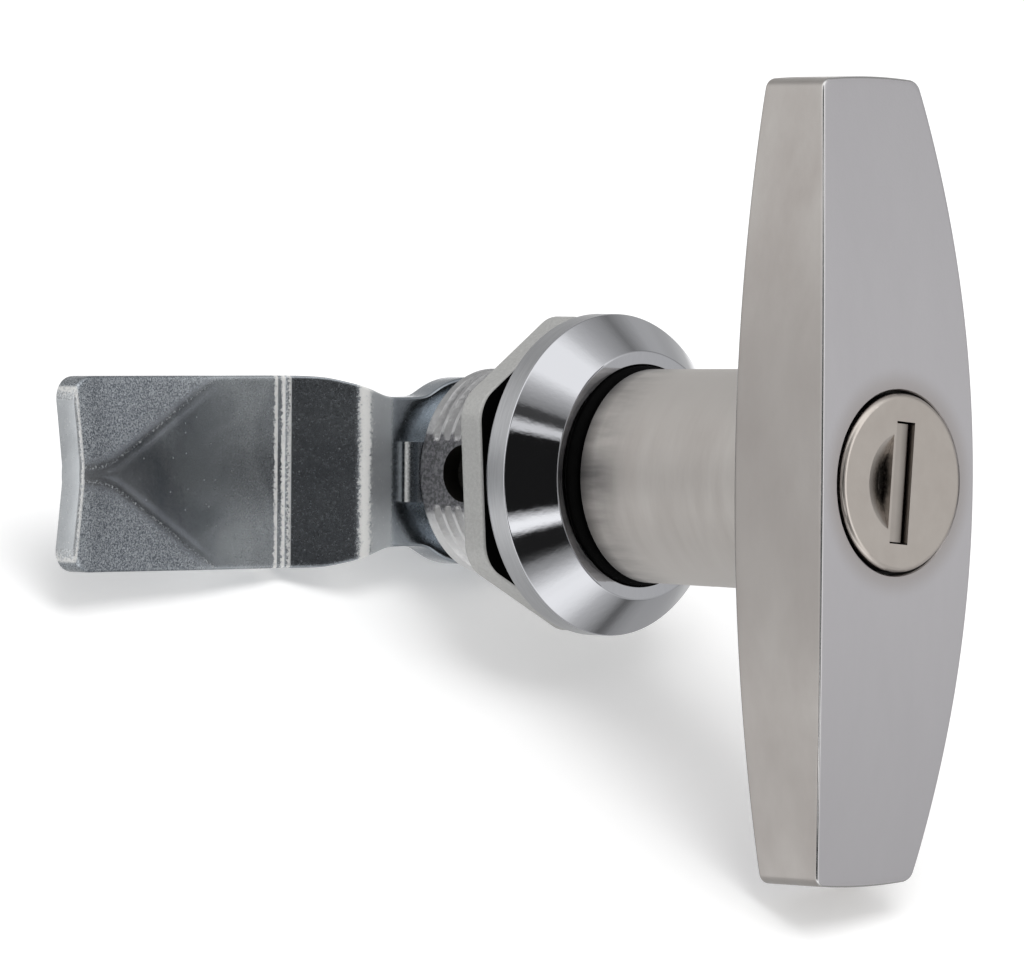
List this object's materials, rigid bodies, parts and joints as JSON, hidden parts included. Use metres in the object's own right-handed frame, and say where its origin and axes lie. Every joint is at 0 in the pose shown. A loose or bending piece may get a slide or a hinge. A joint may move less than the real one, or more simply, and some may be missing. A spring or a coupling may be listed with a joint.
{
  "type": "locking t-handle",
  "caption": "Panel-mounted quarter-turn T-handle latch with a round bezel, a key cylinder in the grip and a cranked steel cam.",
  "frame": {"origin": "centre of the bezel's back face, on the lock's axis", "axes": "+Z along the T-bar at rest; +Y along the lock's axis into the panel, so the grip stands out towards -Y; the cam points to -X at rest"},
  "size_m": [0.0689, 0.0718, 0.0836],
  "materials": {
    "bezel_chrome": "bright chrome plate on die-cast zinc; the thread behind it is bare",
    "satin_chrome": "satin chrome plate on die-cast zinc",
    "satin_nickel": "satin nickel, slightly warm",
    "cast_zinc": "bare die-cast zinc alloy, matt pale grey",
    "zinc_plate": "steel with bright bluish zinc plating",
    "spring_steel": "plain steel",
    "brass": "machined brass",
    "black_rubber": "black nitrile rubber",
    "nylon": "natural nylon"
  },
  "bodies": {
    "base": {"housing": "bezel_chrome", "panel_gasket": "black_rubber", "panel_nut": "cast_zinc", "shaft_seal": "black_rubber", "thrust_washer": "nylon"},
    "handle": {"handle": "satin_chrome", "cylinder_shell": "cast_zinc", "cylinder_pin": "spring_steel", "stop_disc": "zinc_plate", "cam": "zinc_plate", "cam_washer": "zinc_plate", "spring_washer": "spring_steel", "cam_screw": "zinc_plate"},
    "key_plug": {"plug": "brass", "face_cap": "satin_nickel", "wafers": "brass", "wafer_springs": "spring_steel", "plug_clip": "spring_steel", "driver": "zinc_plate", "driver_pin": "spring_steel", "shutter_pin": "spring_steel", "shutter_spring": "spring_steel"},
    "shutter": {"key_shutter": "satin_nickel"},
    "lock_pin": {"lock_pin": "spring_steel"}
  },
  "joints": [
    {"name": "handle_turn", "type": "hinge", "parent": "base", "child": "handle", "pos_m": [0, 0, 0], "axis": [0, 1, 0], "range_deg": [0, 90]},
    {"name": "key_turn", "type": "hinge", "parent": "handle", "child": "key_plug", "pos_m": [0, 0, 0], "axis": [0, 1, 0], "range_deg": [0, 85]},
    {"name": "lock_pin_slide", "type": "slide", "parent": "handle", "child": "lock_pin", "axis": [-1, 0, 0], "range_m": [0, 0.00189]},
    {"name": "shutter_flip", "type": "hinge", "parent": "key_plug", "child": "shutter", "pos_m": [-0.0009, -0.0418, 0.00008], "axis": [0.0872, 0, 0.9962], "range_deg": [0, 70], "stiffness_Nm_per_rad": 0.0004, "springref_deg": -22.92}
  ],
  "couplings": [
    {"joint": "lock_pin_slide", "follows": "key_turn", "m_per_rad": 0.0012732}
  ]
}
